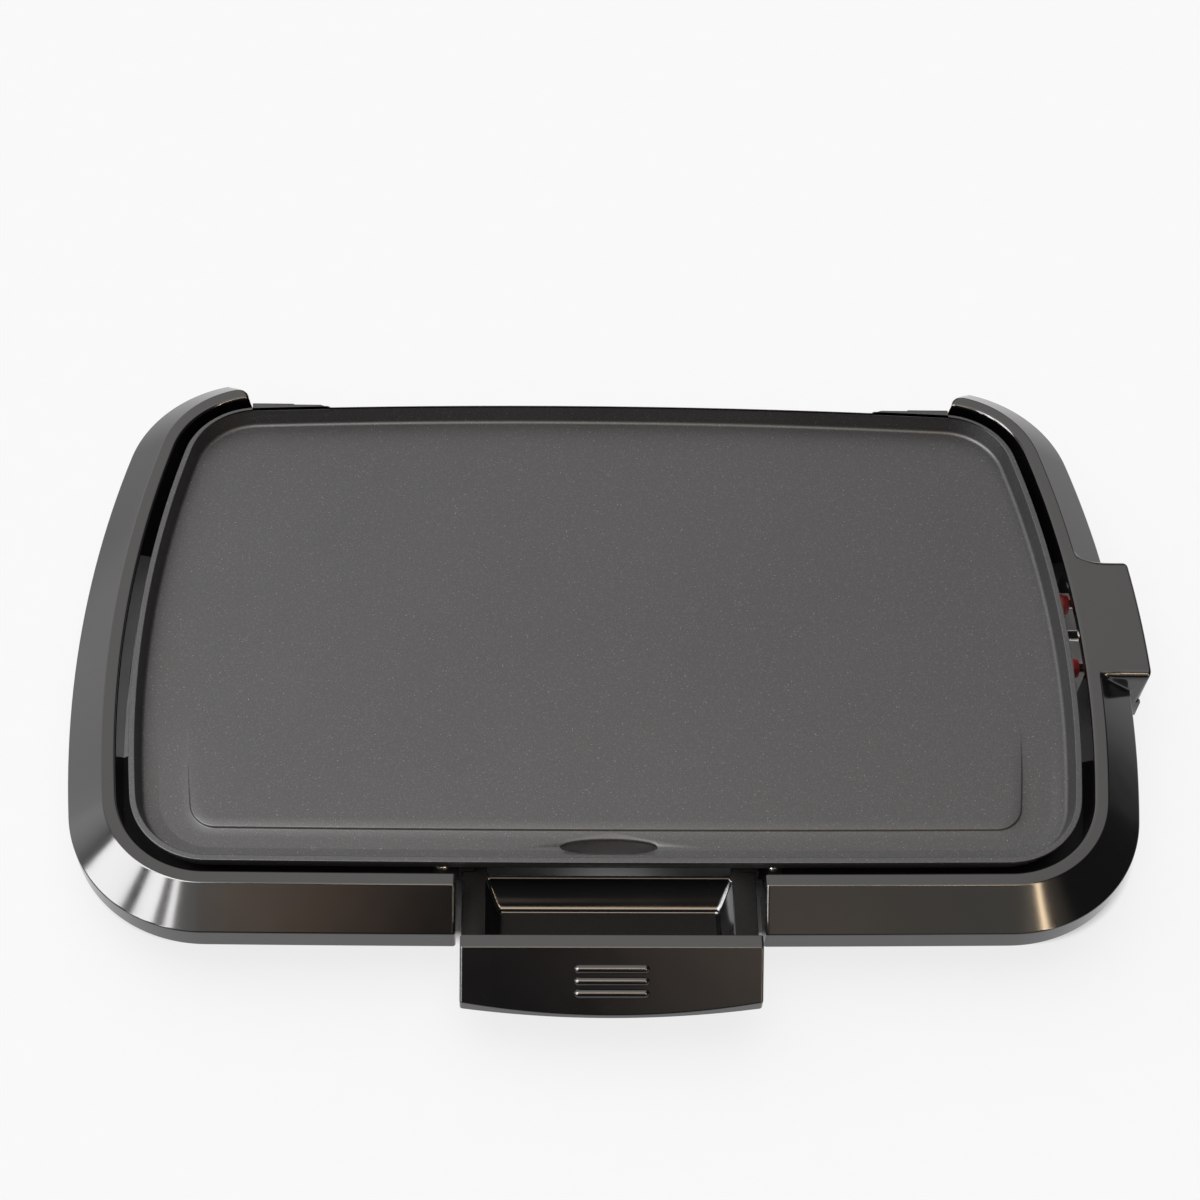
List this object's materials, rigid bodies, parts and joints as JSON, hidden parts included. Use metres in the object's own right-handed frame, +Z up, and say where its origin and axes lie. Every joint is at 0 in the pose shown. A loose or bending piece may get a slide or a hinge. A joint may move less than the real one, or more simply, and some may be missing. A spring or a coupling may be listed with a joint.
{
  "type": "electric griddle",
  "caption": "Flat electric griddle with a coated plate in a sloping gloss surround, a front drip tray shown pulled out, and a side socket for a plug-in thermostat.",
  "frame": {"origin": "middle of the whole griddle's footprint on the table, with the tray pulled out as at rest, on the plane of the feet", "axes": "+X to the right towards the thermostat socket, +Y to the rear, +Z up; the drip tray is at -Y"},
  "size_m": [0.6084, 0.4142, 0.054],
  "materials": {
    "coated_casting": "cast, dark grey speckled non-stick coating, matt",
    "gloss_moulding": "gloss black moulding",
    "leg_moulding": "fine-grained black moulding",
    "phenolic": "heat-resistant black moulding, matt",
    "red_silicone": "red silicone, satin",
    "bright_steel": "bright plated steel",
    "heater_sheath": "heat-tinted steel sheath",
    "pressed_steel": "pressed zinc-plated sheet",
    "black_sheet": "pressed sheet with a heat-resistant black coat, satin",
    "fastener": "zinc-plated screws",
    "foot_rubber": "matt black rubber"
  },
  "bodies": {
    "base": {"base_pan": "black_sheet", "foot_pad_front_left": "foot_rubber", "foot_pad_front_right": "foot_rubber", "foot_pad_rear_left": "foot_rubber", "foot_pad_rear_right": "foot_rubber", "leg_front_left": "leg_moulding", "leg_front_right": "leg_moulding", "leg_rear_left": "leg_moulding", "leg_rear_right": "leg_moulding", "leg_screw_front_left": "fastener", "leg_screw_front_right": "fastener", "leg_screw_rear_left": "fastener", "leg_screw_rear_right": "fastener", "support_post_front_left": "phenolic", "support_post_front_right": "phenolic", "support_post_rear_left": "phenolic", "support_post_rear_right": "phenolic", "surround": "gloss_moulding", "surround_screw_front_left": "fastener", "surround_screw_front_right": "fastener", "surround_screw_middle_left": "fastener", "surround_screw_middle_right": "fastener", "surround_screw_rear_left": "fastener", "surround_screw_rear_right": "fastener", "tray_rail_left": "phenolic", "tray_rail_right": "phenolic", "tray_rail_screw_left_front": "fastener", "tray_rail_screw_left_rear": "fastener", "tray_rail_screw_right_front": "fastener", "tray_rail_screw_right_rear": "fastener"},
    "plate": {"element_clip_1": "pressed_steel", "element_clip_2": "pressed_steel", "element_clip_3": "pressed_steel", "element_clip_4": "pressed_steel", "element_clip_screw_1": "fastener", "element_clip_screw_2": "fastener", "element_clip_screw_3": "fastener", "element_clip_screw_4": "fastener", "griddle_plate": "coated_casting", "heating_element": "heater_sheath", "pin_seal_front": "red_silicone", "pin_seal_rear": "red_silicone", "sensor_sleeve": "bright_steel", "terminal_pin_front": "bright_steel", "terminal_pin_rear": "bright_steel", "terminal_plate": "black_sheet", "terminal_plate_screw_front": "fastener", "terminal_plate_screw_rear": "fastener"},
    "tray": {"drip_tray": "gloss_moulding"}
  },
  "joints": [
    {"name": "tray_slide", "type": "slide", "parent": "base", "child": "tray", "axis": [0, -1, 0], "range_m": [-0.0356, 0.04]},
    {"name": "plate_tilt", "type": "hinge", "parent": "base", "child": "plate", "pos_m": [0.26835, 0.02974, 0.0327], "axis": [0, 1, 0], "range_deg": [0, 12]}
  ]
}
